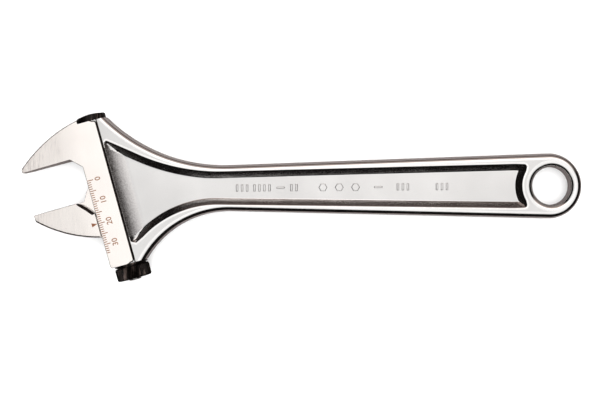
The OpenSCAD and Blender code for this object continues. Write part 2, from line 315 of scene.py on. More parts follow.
class Sheet:
    """The upper half of a part that is the same on both broad faces, built as rings and fills."""

    def __init__(self):
        self.points = []
        self.faces = []
        self.rims = []

    def add(self, xy, z):
        first = len(self.points)
        z = np.broadcast_to(z, len(xy))
        self.points.extend(np.column_stack([xy, z]).tolist())
        return list(range(first, first + len(xy)))

    def band(self, low, high):
        n = len(low)
        for i in range(n):
            j = (i + 1) % n
            self.faces.append((low[i], low[j], high[j], high[i]))

    def edge(self, outline, radius, chamfer, height, levels, depth=None):
        """An outer edge or hole with the material on its left, from its wall up to the face.
        The rounding goes in by radius and down by depth; chamfer blends it to a straight bevel."""
        depth = radius if depth is None else depth
        radius = np.broadcast_to(radius, len(outline)).astype(float)
        chamfer = np.broadcast_to(chamfer, len(outline)).astype(float)
        normal = inward(outline)
        ring = None
        for k in range(levels):
            a = math.pi / 2 * k / (levels - 1)
            go_in = (1 - chamfer) * (1 - math.cos(a)) + chamfer * k / (levels - 1)
            drop = (1 - chamfer) * (1 - math.sin(a)) + chamfer * (1 - k / (levels - 1)) * 0.9
            xy = outline + normal * (radius * go_in)[:, None]
            z = height(xy) - depth * drop
            new = self.add(xy, z)
            if ring is None:
                self.rims.append(new)
            else:
                self.band(ring, new)
            ring = new
        return ring

    def loop(self, ring):
        return np.array([self.points[i][:2] for i in ring])

    def fill(self, rings, height, grid, lines=()):
        """Triangles between closed rings, through extra closed lines and a grid of points."""
        loops = [self.loop(r) for r in rings]
        ids = [i for r in rings for i in r]
        xy = [p for loop in loops for p in loop]
        edges = []
        start = 0
        for loop in [*loops, *lines]:
            edges += [(start + i, start + (i + 1) % len(loop)) for i in range(len(loop))]
            start += len(loop)
        for line in [*lines, grid]:
            if len(line):
                ids += self.add(line, height(line))
                xy += list(line)
        found = delaunay_2d_cdt([Vector(p) for p in xy], edges, [], 0, 1e-6)
        made = np.array([tuple(v) for v in found[0]])
        index = []
        for i, source in enumerate(found[3]):
            if source:
                index.append(ids[source[0]])
            else:
                index += self.add(made[i:i + 1], height(made[i:i + 1]))
        tris = np.array(found[2])
        a, b, c = (made[tris[:, i]] for i in range(3))
        area = np.abs((b - a)[:, 0] * (c - a)[:, 1] - (b - a)[:, 1] * (c - a)[:, 0])
        longest = np.max([np.linalg.norm(p - q, axis=1) for p, q in ((a, b), (b, c), (c, a))], 0)
        sliver = area / longest < SLIVER
        for t in tris[inside((a + b + c) / 3, loops) & ~sliver]:
            self.faces.append(tuple(index[i] for i in t))

    def solid(self, name):
        """Both faces and the walls between them, as one closed mesh."""
        n = len(self.points)
        points = self.points + [(x, y, -z) for x, y, z in self.points]
        faces = self.faces + [tuple(reversed([i + n for i in f])) for f in self.faces]
        for ring in self.rims:
            k = len(ring)
            for i in range(k):
                j = (i + 1) % k
                faces.append((ring[i] + n, ring[j] + n, ring[j], ring[i]))
        return mesh_object(name, points, faces)


def add_object(name, data):
    obj = bpy.data.objects.new(name, data)
    bpy.context.scene.collection.objects.link(obj)
    return obj


def mesh_object(name, points, faces):
    """A mesh object from points in millimetres, with loose points dropped and faces turned outwards."""
    mesh = bpy.data.meshes.new(name)
    mesh.from_pydata((np.asarray(points, float) * MM).tolist(), [], faces)
    bm = bmesh.new()
    bm.from_mesh(mesh)
    bmesh.ops.remove_doubles(bm, verts=bm.verts, dist=1e-7)
    loose = [v for v in bm.verts if not v.link_faces]
    bmesh.ops.delete(bm, geom=loose, context="VERTS")
    bmesh.ops.recalc_face_normals(bm, faces=bm.faces)
    bm.to_mesh(mesh)
    bm.free()
    return add_object(name, mesh)


def head_matrix(points):
    """Head-frame points (u, w, z) as handle-frame points (x, y, z)."""
    points = np.asarray(points, float)
    return np.column_stack([head_to_plan(points[:, :2]), points[:, 2]])


def lathe(name, profile, segments, radius_wave=None):
    """A closed turned piece on the slide axis. The profile holds (radius, w) from one end of the
    axis or of the bore to the other; radius_wave(angle, radius, w) adds relief to the outside."""
    angles = np.linspace(0, 2 * math.pi, segments, endpoint=False)
    points, rings = [], []
    for r, w in profile:
        if r < 1e-6:
            rings.append([len(points)])
            points.append((0, w, 0))
            continue
        more = radius_wave(angles, r, w) if radius_wave else np.zeros(segments)
        rings.append(list(range(len(points), len(points) + segments)))
        for a, d in zip(angles, more):
            points.append(((r + d) * math.cos(a), w, (r + d) * math.sin(a)))
    faces = []
    pairs = list(zip(rings, rings[1:]))
    if len(rings[0]) > 1:
        pairs.append((rings[-1], rings[0]))
    for low, high in pairs:
        for i in range(segments):
            j = (i + 1) % segments
            quad = [low[i % len(low)], low[j % len(low)], high[j % len(high)], high[i % len(high)]]
            quad = list(dict.fromkeys(quad))
            if len(quad) > 2:
                faces.append(quad)
    return mesh_object(name, head_matrix(points), faces)


def prism(name, outline, low, high, in_head=True):
    """A straight-sided cutter or block."""
    n = len(outline)
    plan = head_to_plan(outline) if in_head else np.asarray(outline, float)
    points = [(x, y, low) for x, y in plan] + [(x, y, high) for x, y in plan]
    faces = [tuple(range(n - 1, -1, -1)), tuple(range(n, 2 * n))]
    faces += [(i, (i + 1) % n, (i + 1) % n + n, i + n) for i in range(n)]
    return mesh_object(name, points, faces)


def combine(base, others, operation):
    """Applies exact booleans and removes the other objects."""
    for other in others:
        modifier = base.modifiers.new("cut", "BOOLEAN")
        modifier.operation = operation
        modifier.solver = "EXACT"
        modifier.object = other
    graph = bpy.context.evaluated_depsgraph_get()
    made = bpy.data.meshes.new_from_object(base.evaluated_get(graph))
    base.modifiers.clear()
    base.data = made
    for other in others:
        bpy.data.objects.remove(other)


def shade(obj, angle=28, weighted=True):
    """Smooth shading with sharp edges, weighted so that flat faces stay flat."""
    mesh = obj.data
    mesh.shade_smooth()
    mesh.set_sharp_from_angle(angle=math.radians(angle))
    if weighted:
        modifier = obj.modifiers.new("weighted", "WEIGHTED_NORMAL")
        modifier.keep_sharp = True
        modifier.weight = 60
    return obj


# ---------- forging ----------

def flat_face(half):
    """The height function of a flat face."""
    return lambda xy: np.full(len(xy), half)


def slab(name, outline, radius, chamfer, height, levels, step):
    """A block with two like faces, from a head-frame outline and the rounding of its edge."""
    sheet = Sheet()
    ring = sheet.edge(head_to_plan(outline), radius, chamfer, height, levels)
    sheet.fill([ring], height, grid_points([sheet.loop(ring)], step))
    return sheet.solid(name)


def rim_height(xy):
    """Half thickness of the handle's rims."""
    return np.interp(xy[:, 0], SECTIONS_X, RIM_HALF)


def recess_floor(xy):
    """Half thickness of the web, with the concave ramp up to the head."""
    web = np.interp(xy[:, 0], SECTIONS_X, WEB_HALF)
    u = plan_to_head(xy)[:, 0]
    run = np.clip(RAMP_U - u, 0, RAMP_R * 0.8)
    ramp = RAMP_R - np.sqrt(RAMP_R ** 2 - run ** 2)
    return np.minimum(web + ramp, rim_height(xy) - 0.02)


def wall_drop(gap):
    """How far the recess wall has come down at this distance from its upper edge."""
    ease_in, ease_out = 0.3, 0.7
    g = np.clip(gap, 0, WALL_RUN + ease_out)
    start = WALL_SLOPE * np.where(g < ease_in, g * g / (2 * ease_in), g - ease_in / 2)
    over = np.clip(g - WALL_RUN, 0, ease_out)
    return start - WALL_SLOPE * over * over / (2 * ease_out)


def grip_outline():
    """The handle's outer edge, closed inside the head."""
    top = arc_over(FLANK_TOP, NECK_X, FLANK_ENDS[0], -1)
    low = arc_over(FLANK_LOW, FLANK_ENDS[1], NECK_X, 1)
    end = arc(END_X, 0, END_R, -89, 89)
    return dense(np.concatenate([end, top, *(head_to_plan(tail) for tail in GRIP_TAILS), low]), 0.9)


def recess_outline():
    """The recess's upper edge: concave around the hole, straight flanks, and a fan up to the head's step."""
    half_angle = math.degrees(math.asin(RING_MOUTH_HALF / END_RING_R))
    ring = arc(0, 0, END_RING_R, 180 + half_angle, 180 - half_angle, 0.5)
    top = arc_over(RECESS_TOP, RECESS_TOP[0], RECESS_ENDS[0], -1)
    low = arc_over(RECESS_LOW, RECESS_ENDS[1], RECESS_LOW[0], 1)
    corner_x, corner_y, corner_r = RECESS_CORNER
    tips, steps = head_to_plan(RECESS_TIPS), head_to_plan(RECESS_STEP)
    points = [(x, y, 0) for x, y in ring]
    points += [RECESS_CORNER, (RECESS_END_X, RECESS_END, 0)]
    points += [(x, y, 0) for x, y in top]
    points += [(*tips[0], 0.3), (*steps[0], 0.4), (*steps[1], 0.4), (*tips[1], 0.3)]
    points += [(x, y, 0) for x, y in low]
    points += [(RECESS_END_X, -RECESS_END, 0), (corner_x, -corner_y, corner_r)]
    return filleted(points, 0.45)


def recess_flanks(pocket):
    """The part of the recess's edge that has a wall below it: all but the stretch beside the step."""
    u = plan_to_head(pocket)[:, 0]
    first = int(np.argmin(u))
    turned, u = np.roll(pocket, -first, 0), np.roll(u, -first)
    return turned[u > RECESS_TIPS[0][0] - 0.3]


def on_wide_flat(plan, pocket, slack):
    """True on the flats around the hole and on the shoulders, away from every edge."""
    outer, hole, recess = FLAT_MARGINS
    return (
        (distance(plan, grip_outline()) > outer + slack)
        & inside(plan, [grip_outline()])
        & (np.hypot(plan[:, 0], plan[:, 1]) > HOLE_R + hole + slack)
        & (distance(plan, pocket) > recess + slack)
        & ~inside(plan, [pocket])
    )


def bar(x, y, half_x, half_y):
    """A small upright figure with rounded corners."""
    corners = [(-1, -1), (1, -1), (1, 1), (-1, 1)]
    return filleted([(x + i * half_x, y + j * half_y, 0.3) for i, j in corners], 0.25)


def mark_outlines():
    """The web's plain figures, each a closed outline."""
    marks = [bar(x, 0, *DASH_HALF) for x in DASHES]
    for x in HEXAGONS:
        a = np.radians(np.arange(0, 360, 60))
        marks.append(np.stack([x + HEXAGON_R * np.cos(a), HEXAGON_R * np.sin(a)], 1))
    for x, count in BAR_GROUPS:
        marks += [bar(x + i * BAR_PITCH, 0, *BAR_HALF) for i in range(count)]
    return [dense(m, 0.7) for m in marks]


def make_forging():
    """Handle and neck: rounded rims, the recess with its walls, web, ramp and raised figures."""
    sheet = Sheet()
    outline = grip_outline()
    u, w = plan_to_head(outline).T
    at_head = outline[:, 0] < HEAD_X
    inner = np.clip(np.minimum(17.2 - w, w + 55.2) / 1.2, 0.1, 1) * np.where(u < 1, 0.1, 1)
    share = np.where(at_head, np.maximum(inner, 0.1), 1.0)
    outer = sheet.edge(outline, EDGE_IN * share, 0.0, rim_height, 12, EDGE_DOWN * share)
    hole = arc(0, 0, HOLE_R, 360, 0, 0.6)[:-1]
    ring = sheet.edge(hole, HOLE_ROUND, 0.0, rim_height, 10)
    pocket = recess_outline()
    flanks = recess_flanks(pocket)
    brim = sheet.add(pocket, rim_height(pocket))
    rings = [outer, ring, brim]
    border = np.concatenate([
        dense(shrunk(outline, FLAT_MARGINS[0]), 0.35),
        arc(0, 0, HOLE_R + FLAT_MARGINS[1], 0, 360, 0.35)[:-1],
        dense(shrunk(pocket, -FLAT_MARGINS[2]), 0.35),
    ])
    border = border[on_wide_flat(border, pocket, -0.02)]
    grid = grid_points([sheet.loop(r) for r in rings], 1.5)
    grid = grid[np.array([np.linalg.norm(border - p, axis=1).min() for p in grid]) > 0.4]
    sheet.fill(rings, rim_height, np.concatenate([grid, border]))
    marks = mark_outlines()

    def surface(xy):
        wall = rim_height(xy) - wall_drop(distance(xy, flanks, False))
        z = np.maximum(wall, recess_floor(xy))
        for mark in marks:
            near = np.abs(xy[:, 0] - mark[:, 0].mean()) < 6
            if near.any():
                gap = distance(xy[near], mark) * inside(xy[near], [mark])
                z[near] += MARK_HIGH * np.clip(gap / MARK_EDGE, 0, 1)
        return z

    lines = [shrunk(pocket, g) for g in (0.1, 0.2, 0.32, 0.8, 1.5, 2.2, 2.9, 3.1, 3.3, 3.5, 3.75)]
    lines += marks + [shrunk(mark, MARK_EDGE) for mark in marks]
    coarse = grid_points([pocket], 1.8)
    fine = grid_points([pocket], 0.7)
    ramp_end = RAMP_U + 1.2
    grid = np.concatenate([
        coarse[plan_to_head(coarse)[:, 0] >= ramp_end],
        fine[plan_to_head(fine)[:, 0] < ramp_end],
    ])
    grid = grid[distance(grid, pocket) > 4.2]
    corner_x, corner_y = RECESS_CORNER[:2]
    corners = np.array([(corner_x, corner_y), (corner_x, -corner_y), *head_to_plan(RECESS_TIPS)])

    def at_corner(points):
        return np.linalg.norm(points[:, None] - corners, axis=2).min(1) < FINE_CORNER_R

    finest = grid_points([pocket], 0.35)
    finest = finest[at_corner(finest)]
    for line in lines[:-2 * len(marks)]:
        finest = finest[distance(finest, line) > 0.12]
    grid = np.concatenate([grid[~at_corner(grid)], finest])
    for mark in marks:
        grid = grid[distance(grid, mark) > 0.5]
    sheet.fill([brim], surface, grid, lines)
    return sheet.solid("forging")


# ---------- head plate and fixed jaw ----------

def jaw_height(xy):
    """Half thickness of the ground plate and the jaws, which thin towards their tips."""
    out = np.clip(TAPER_START - plan_to_head(xy)[:, 0], 0, None)
    reach = JAW_REACH + TAPER_START
    slope = (PLATE_HALF - TIP_HALF) / (reach - TAPER_BLEND / 2)
    eased = np.where(out < TAPER_BLEND, out * out / (2 * TAPER_BLEND), out - TAPER_BLEND / 2)
    return PLATE_HALF - slope * eased


def circle_w(circle, u, side):
    """The w of a circle at u, on its upper (1) or lower (-1) side."""
    cx, cy, r = circle
    return cy + side * np.sqrt(r * r - (u - cx) ** 2)


def plate_outline():
    """The fixed jaw and the ground plate in the head frame, counter-clockwise."""
    back_u = np.linspace(NOTCH_U + 0.6, -JAW_REACH, 30)
    back = [(u, circle_w(JAW_BACK, u, 1), 0) for u in back_u[:-1]]
    tip_w = circle_w(JAW_BACK, -JAW_REACH, 1)
    points = [
        (-JAW_REACH, tip_w, 0.9), (-JAW_REACH, 0, 0.35), (FACE_END_U, 0, 0.5),
        (THROAT_U, THROAT_W, 0.8), (THROAT_U, BUSH_SEAT - 0.05, 1.9), (FOOT_U, BUSH_SEAT - 0.05, 0.2),
        (FOOT_U, FOOT_W, 0.5), (SHOULDER_U, FOOT_W, 0.5), (SHOULDER_U, BUSH_SEAT - 0.2, 0),
        (STEP_U, BUSH_SEAT - 0.2, 3.4), (STEP_U, CAP_SEAT + 0.2, 3.4),
        (SHOULDER_U, CAP_SEAT + 0.2, 0), (SHOULDER_U, NOTCH_W, 0.4),
    ]
    return filleted(points + back, 0.45)


def make_plate():
    """The ground plate and the fixed jaw, with a bevel along the step to the handle."""
    outline = plate_outline()
    u, w = outline[:, 0], outline[:, 1]
    step = np.clip((u - (STEP_U - 3.6)) / 1.2, 0, 1) * (w > BUSH_SEAT - 0.6) * (w < CAP_SEAT + 0.6)
    back = np.clip((w - 1.0) / 2.0, 0, 1) * (u < -4)
    radius = 0.28 + step * (STEP_CHAMFER - 0.28) + back * 0.2
    return slab("plate", outline, radius, step, jaw_height, 5, 1.4)


def make_under_step():
    """The lower part of the step, between the plate and the handle."""
    corners = [
        (-5, CAP_SEAT + 1.5, 0), (-5, BUSH_SEAT - 1.5, 0),
        (UNDER_STEP_U, BUSH_SEAT - 1.5, 0.8), (UNDER_STEP_U, CAP_SEAT + 1.5, 0.8),
    ]
    outline = filleted(corners, 0.8)
    return slab("under_step", outline, UNDER_CHAMFER, 1.0, flat_face(UNDER_STEP_HALF), 4, 4.0)


def slide_cylinder(name, radius, low, high, segments=96):
    return lathe(name, [(0, low), (radius, low), (radius, high), (0, high)], segments)


def make_body():
    """The forging with the plate joined on and the slide's bore, slot and seats cut in."""
    body = make_forging()
    combine(body, [make_plate(), make_under_step()], "UNION")
    slot = [
        (-14.2, -2), (-14.2, BUSH_SEAT - 3), (0, BUSH_SEAT - 3), (0, 8.2),
        (-5, 8.2), (-10.2, 6), (-12, 4), (-14.2, 0.3),
    ]
    cap_room = [(NOTCH_U, CAP_SEAT), (14, CAP_SEAT), (14, 40), (NOTCH_U, 40)]
    bush_room = [(-20, -80), (16, -80), (16, BUSH_SEAT), (-20, BUSH_SEAT)]
    pin_hole = head_to_plan([BUSH_PIN])[0] + arc(0, 0, PIN_R, 0, 360, 0.2)[:-1]
    cutters = [
        prism("cap_room", cap_room, -20, 20),
        prism("bush_room", bush_room, -21, 21),
        slide_cylinder("cap_counterbore", COUNTERBORE_R, CAP_SEAT + 0.02, 39),
        slide_cylinder("bore", BORE_R, BUSH_SEAT - 4, CAP_SEAT + 3),
        prism("slot", slot, -SLOT_HALF, SLOT_HALF),
        prism("pin_hole", pin_hole, -19, 4.8, False),
    ]
    combine(body, cutters, "DIFFERENCE")
    body.name = "wrench_body_forging"
    return shade(body)


# ---------- moving jaw ----------

def make_moving_jaw():
    """The jaw plate with its stepped edge, the tongue in the slot and the carrier in the bore."""
    low_u = np.linspace(-JAW_REACH + 0.5, JAW_EDGE_U - 0.3, 30)
    low = [(u, circle_w(JAW_LOW, u, -1), 0) for u in low_u]
    points = [(-JAW_REACH, 0, 0.35), (-JAW_REACH, circle_w(JAW_LOW, -JAW_REACH, -1), 0.8)]
    points += low
    points += [
        (JAW_EDGE_U, circle_w(JAW_LOW, JAW_EDGE_U, -1), 0.5), (JAW_EDGE_U, JAW_EDGE_W, 0.1), *JAW_STEP,
    ]
    outline = filleted(points, 0.4)
    u, w = outline[:, 0], outline[:, 1]
    step = (w < -0.03) & (w > JAW_EDGE_W - 0.05) & (u > -16.4) & (u < JAW_EDGE_U - 0.05)
    grown = np.clip((u + 16.6) / 2.0, 0.15, 1) * step
    back = np.clip((-w - 1.5) / 2.0, 0, 1) * (u < JAW_EDGE_U - 0.5) * ~step
    radius = 0.25 + grown * 1.05 + back * 0.6
    shift = np.array([0, -OPENING])
    jaw = slab("moving_jaw_forging", outline + shift, radius, grown, jaw_height, 5, 1.2)

    corners = [
        (-18, -1.2), (-18, -13.8), (-9.5, -17.6), (-6.2, -18.2), (-6.2, -13.4), (-4.4, -12.3),
        (-4.4, 7.5), (-9.4, 5.8), (-11, 3.7), (-13, -0.03), (-16.6, -0.03),
    ]
    rounded = filleted([(u, w, 0.6 if i in (7, 8, 9) else 0.25) for i, (u, w) in enumerate(corners)], 0.4)
    tongue = slab("tongue", rounded + shift, 0.2, 0.0, flat_face(TONGUE_HALF), 4, 1.5)
    low, high = CARRIER_LOW - OPENING, CARRIER_TOP - OPENING
    carrier = lathe("carrier", [
        (0, low), (CARRIER_R - 0.4, low), (CARRIER_R, low + 0.4),
        (CARRIER_R, high - 0.4), (CARRIER_R - 0.4, high), (0, high),
    ], 96)
    combine(jaw, [tongue, carrier], "UNION")
    combine(jaw, [slide_cylinder("screw_room", THREAD_R + 0.08, low - 1, high + 1, 64)], "DIFFERENCE")
    jaw.name = "moving_jaw_forging"
    return shade(jaw)


# ---------- turned pieces ----------

def round_corner(r, w, size, start, end, count=5):
    """Profile points of a rounded corner about the centre (r, w)."""
    return [
        (r + size * math.cos(math.radians(a)), w + size * math.sin(math.radians(a)))
        for a in np.linspace(start, end, count)
    ]


def make_nut():
    """The side nut with its sawtooth knurl and the spring pin's hole across it."""
    low = NUT_TOP - NUT_LENGTH
    corner = 1.0

    def knurl(angle, r, w):
        fade = np.clip((r - (NUT_R - 0.75)) / 0.6, 0, 1)
        saw = np.abs((angle * NUT_RIDGES / (2 * math.pi)) % 1 - 0.5) * 2
        return -KNURL_DEPTH * fade * (1 - saw)

    profile = [
        (SHANK_R, low + 0.35), (SHANK_R + 0.35, low), (4.3, low), (4.5, low + 0.25), (5.4, low + 0.25),
        (5.6, low), *round_corner(NUT_R - corner, low + corner, corner, -90, 0, 7),
        *[(NUT_R, w) for w in np.linspace(low + corner + 0.4, NUT_TOP - corner - 0.4, 5)],
        *round_corner(NUT_R - corner, NUT_TOP - corner, corner, 0, 90, 7),
        (SHANK_R + 0.3, NUT_TOP), (SHANK_R, NUT_TOP - 0.3),
    ]
    nut = lathe("side_nut_knurled", profile, NUT_RIDGES * 4, knurl)
    hole = lathe("hole", [(0, -12), (PIN_R, -12), (PIN_R, 12), (0, 12)], 24)
    points = np.array([v.co[:] for v in hole.data.vertices]) / MM
    local = plan_to_head(points[:, :2])
    turned = head_matrix(np.column_stack([local[:, 1], NUT_PIN_W + local[:, 0], points[:, 2]]))
    for v, p in zip(hole.data.vertices, turned):
        v.co = Vector(p * MM)
    combine(nut, [hole], "DIFFERENCE")
    nut.name = "side_nut_knurled"
    return shade(nut, 22, False)


def make_spindle():
    """The screw: shank, collar, helical thread and upper journal."""
    def ridge(angle, r, w):
        ends = np.clip(min(w - THREAD_LOW, THREAD_HIGH - w) / 0.6, 0, 1)
        if ends <= 0 or r != ROOT_R:
            return np.zeros(len(angle))
        phase = (w / PITCH - angle / (2 * math.pi)) % 1
        height = np.clip((0.33 - np.abs(phase - 0.5)) / 0.22, 0, 1)
        return (THREAD_R - ROOT_R) * height * ends

    low = SHANK_LOW
    profile = [(0, low), (SHANK_R - 0.3, low), (SHANK_R, low + 0.3), (SHANK_R, COLLAR_LOW - 0.01)]
    profile += [(COLLAR_R - 0.15, COLLAR_LOW), (COLLAR_R, COLLAR_LOW + 0.15)]
    profile += [(COLLAR_R, COLLAR_TOP - 0.15), (COLLAR_R - 0.15, COLLAR_TOP)]
    profile += [(ROOT_R, w) for w in np.arange(COLLAR_TOP + 0.01, THREAD_HIGH + 0.2, 0.2)]
    top = THREAD_HIGH + 0.45
    profile += [(JOURNAL_R, top), (JOURNAL_R, JOURNAL_TOP - 0.3), (JOURNAL_R - 0.3, JOURNAL_TOP)]
    profile += [(0, JOURNAL_TOP)]
    return shade(lathe("adjusting_screw", profile, 48, ridge), 40, False)


def make_cap():
    """The domed cap with its spigot down the bore."""
    rim_top, size = CAP_SEAT + CAP_RIM, 0.35
    dome_r = (CAP_R ** 2 + CAP_DOME ** 2) / (2 * CAP_DOME)
    top = CAP_SEAT + CAP_RIM + CAP_DOME
    edge_angle = math.degrees(math.asin((CAP_R - size) / dome_r))
    dome = [
        (dome_r * math.sin(math.radians(a)), top - dome_r * (1 - math.cos(math.radians(a))))
        for a in np.linspace(edge_angle, 0, 14)
    ]
    profile = [
        (0, JOURNAL_TOP + 0.3), (JOURNAL_R + 0.05, JOURNAL_TOP + 0.3),
        (JOURNAL_R + 0.05, CAP_SEAT - 4), (BORE_R, CAP_SEAT - 4), (BORE_R, CAP_SEAT),
        *round_corner(CAP_R - 0.2, CAP_SEAT + 0.2, 0.2, -90, 0, 4),
        *round_corner(CAP_R - size, rim_top - size * 0.4, size, 0, 60, 5),
        *dome[1:-1], (0, top),
    ]
    return shade(lathe("slide_cap_domed", profile, 128), 35, False)


def make_bush():
    """The flange under the head and the spigot that closes the bore."""
    profile = [
        (SHANK_R + 0.05, BUSH_SEAT - FLANGE),
        *round_corner(FLANGE_R - 0.2, BUSH_SEAT - FLANGE + 0.2, 0.2, -90, 0, 4),
        *round_corner(FLANGE_R - 0.2, BUSH_SEAT - 0.2, 0.2, 0, 90, 4),
        (BORE_R, BUSH_SEAT), (BORE_R, SPIGOT_TOP - 0.3), (BORE_R - 0.3, SPIGOT_TOP),
        (SHANK_R + 0.05, SPIGOT_TOP),
    ]
    return shade(lathe("flange_bush_turned", profile, 128), 35, False)


def make_thrust_washer():
    top, inner, size = BUSH_SEAT - FLANGE, SHANK_R + 0.05, 0.15
    low = top - WASHER
    profile = [
        (inner, low), *round_corner(WASHER_R - size, low + size, size, -90, 0),
        *round_corner(WASHER_R - size, top - size, size, 0, 90), (inner, top),
    ]
    return shade(lathe("thrust_washer_turned", profile, 128), 35, False)


# ---------- scale ----------

def surface_marks(name, outlines, height):
    """Thin marks, a little proud, whose top follows the ground face."""
    points, faces = [], []
    for outline in outlines:
        plan = head_to_plan(outline)
        z = height(plan)
        n, first = len(plan), len(points)
        points += [(x, y, h - MARK_SINK) for (x, y), h in zip(plan, z)]
        points += [(x, y, h + MARK_PROUD) for (x, y), h in zip(plan, z)]
        faces.append([first + i for i in range(n - 1, -1, -1)])
        faces.append([first + n + i for i in range(n)])
        faces += [
            [first + i, first + (i + 1) % n, first + n + (i + 1) % n, first + n + i]
            for i in range(n)
        ]
    return mesh_object(name, points, faces)


def make_ticks():
    """One tick a millimetre, every fifth one longer."""
    ticks = []
    for i in range(SCALE_LAST + 1):
        w = SCALE_ZERO - i
        end = TICK_LONG if i % 5 == 0 else TICK_SHORT
        half = TICK_WIDTH / 2
        ticks.append([(TICK_START, w - half), (end, w - half), (end, w + half), (TICK_START, w + half)])
    return surface_marks("scale_ticks", ticks, jaw_height)


def make_figures():
    """The scale's figures, read from the nut's end towards the cap."""
    made = []
    for value in range(0, SCALE_LAST, 10):
        curve = bpy.data.curves.new("figure", "FONT")
        curve.body = str(value)
        curve.size = FIGURE_SIZE
        curve.align_x = "CENTER"
        curve.extrude = (MARK_SINK + MARK_PROUD) / 2
        curve.offset = 0.05
        curve.resolution_u = 6
        text = add_object("figure", curve)
        graph = bpy.context.evaluated_depsgraph_get()
        mesh = bpy.data.meshes.new_from_object(text.evaluated_get(graph))
        bpy.data.objects.remove(text)
        points = np.array([v.co[:] for v in mesh.vertices])
        uw = np.column_stack([FIGURE_FOOT - points[:, 1], SCALE_ZERO - value + points[:, 0]])
        z = PLATE_HALF + points[:, 2] + (MARK_PROUD - MARK_SINK) / 2
        made.append((head_matrix(np.column_stack([uw, z])), [tuple(p.vertices) for p in mesh.polygons]))
    points, faces = [], []
    for co, polygons in made:
        faces += [[i + len(points) for i in p] for p in polygons]
        points += co.tolist()
    return mesh_object("scale_figures", points, faces)


def make_pointer():
    """The triangle on the moving jaw that reads the scale."""
    w = SCALE_ZERO - OPENING
    outline = filleted([(-11.75, w - 0.95, 0.1), (-8.98, w, 0.05), (-11.75, w + 0.95, 0.1)], 0.3)
    return surface_marks("scale_pointer", [outline], jaw_height)


# ---------- materials ----------

def set_stops(ramp, stops):
    """Sets a colour ramp's (position, (r, g, b)) stops."""
    while len(ramp.elements) < len(stops):
        ramp.elements.new(0.5)
    for element, (place, colour) in zip(ramp.elements, stops):
        element.position = place
        element.color = (*colour, 1)


class Nodes:
    """A material's node tree with short ways to add and link nodes."""

    def __init__(self, name):
        self.material = bpy.data.materials.new(name)
        self.material.use_nodes = True
        self.tree = self.material.node_tree
        self.shader = self.tree.nodes["Principled BSDF"]
        self.coordinates = self.add("ShaderNodeTexCoord").outputs["Object"]

    def add(self, kind, **values):
        node = self.tree.nodes.new(kind)
        for key, value in values.items():
            if hasattr(node, key):
                setattr(node, key, value)
            else:
                node.inputs[key.replace("_", " ")].default_value = value
        return node

    def link(self, source, target):
        self.tree.links.new(source, target)

    def noise(self, scale, detail, stretch=None, turn=0.0):
        """Noise in object space; scale is in features per metre."""
        mapping = self.add("ShaderNodeMapping", Rotation=(0, 0, -turn), Scale=stretch or (1, 1, 1))
        self.link(self.coordinates, mapping.inputs["Vector"])
        node = self.add("ShaderNodeTexNoise", Scale=scale, Detail=detail)
        self.link(mapping.outputs["Vector"], node.inputs["Vector"])
        return node.outputs["Fac"]

    def spread(self, value, low, high, start=0.3, end=0.7):
        """Maps a 0 to 1 texture value onto low to high."""
        node = self.add("ShaderNodeMapRange", From_Min=start, From_Max=end, To_Min=low, To_Max=high)
        self.link(value, node.inputs["Value"])
        return node.outputs["Result"]

    def math(self, operation, a, b):
        node = self.add("ShaderNodeMath", operation=operation)
        self.link(a, node.inputs[0])
        self.link(b, node.inputs[1])
        return node.outputs["Value"]

    def surface(self, metallic, roughness):
        self.shader.inputs["Metallic"].default_value = metallic
        self.link(roughness, self.shader.inputs["Roughness"])

    def colours(self, value, *stops):
        """The base colour, from a ramp along value."""
        node = self.add("ShaderNodeValToRGB")
        set_stops(node.color_ramp, stops)
        self.link(value, node.inputs["Fac"])
        self.link(node.outputs["Color"], self.shader.inputs["Base Color"])

    def bump(self, heights, distance):
        """One bump from several (value, strength) pairs, chained."""
        normal = None
        for value, strength in heights:
            node = self.add("ShaderNodeBump", Strength=strength, Distance=distance)
            self.link(value, node.inputs["Height"])
            if normal is not None:
                self.link(normal, node.inputs["Normal"])
            normal = node.outputs["Normal"]
        self.link(normal, self.shader.inputs["Normal"])


HEAD_TURN = math.atan2(ACROSS[1], ACROSS[0])


def satin_chrome(name, step_shade_strength):
    """Bead-blasted and plated forging: an even grain with faint clouds, and painted shade that darkens it beside
    the step.
    """
    n = Nodes(name)
    grain = n.noise(4200, 4)
    clouds = n.noise(45, 2)
    speckle = n.noise(1700, 3)
    along = n.add("ShaderNodeVectorMath", operation="DOT_PRODUCT")
    n.link(n.coordinates, along.inputs[0])
    along.inputs[1].default_value = (*ACROSS, 0)
    # Painted shade: the colour darkens towards the step, broken up by the speckle
    start, end = ((HEAD @ ACROSS + u) * MM for u in STEP_SHADE_FROM_TO)
    step_shade = n.spread(along.outputs["Value"], step_shade_strength, 0.0, start, end)
    step_shade = n.math("MULTIPLY", step_shade, n.spread(speckle, 1.0, 0.4))
    value = n.math("SUBTRACT", n.spread(clouds, 0.9, 1.0), step_shade)
    n.colours(value, (0.05, (0.035, 0.032, 0.031)), (0.3, (0.17, 0.164, 0.16)),
              (0.6, (0.47, 0.46, 0.455)), (1.0, (0.79, 0.785, 0.775)))
    n.surface(1.0, n.spread(grain, 0.27, 0.38))
    n.bump([(grain, 0.25), (n.noise(1500, 3), 0.55)], 0.00005)
    return n.material


def polished_chrome():
    """Buffed rims, walls and rounded edges, with faint waves and hairlines."""
    n = Nodes("polished_chrome")
    waves = n.noise(70, 2)
    hairlines = n.noise(1500, 3, (0.06, 1, 1))
    n.colours(waves, (0.3, (0.86, 0.845, 0.83)), (0.7, (0.92, 0.905, 0.89)))
    n.surface(1.0, n.spread(hairlines, 0.09, 0.16))
    n.bump([(waves, 0.05), (hairlines, 0.015)], 0.0001)
    return n.material


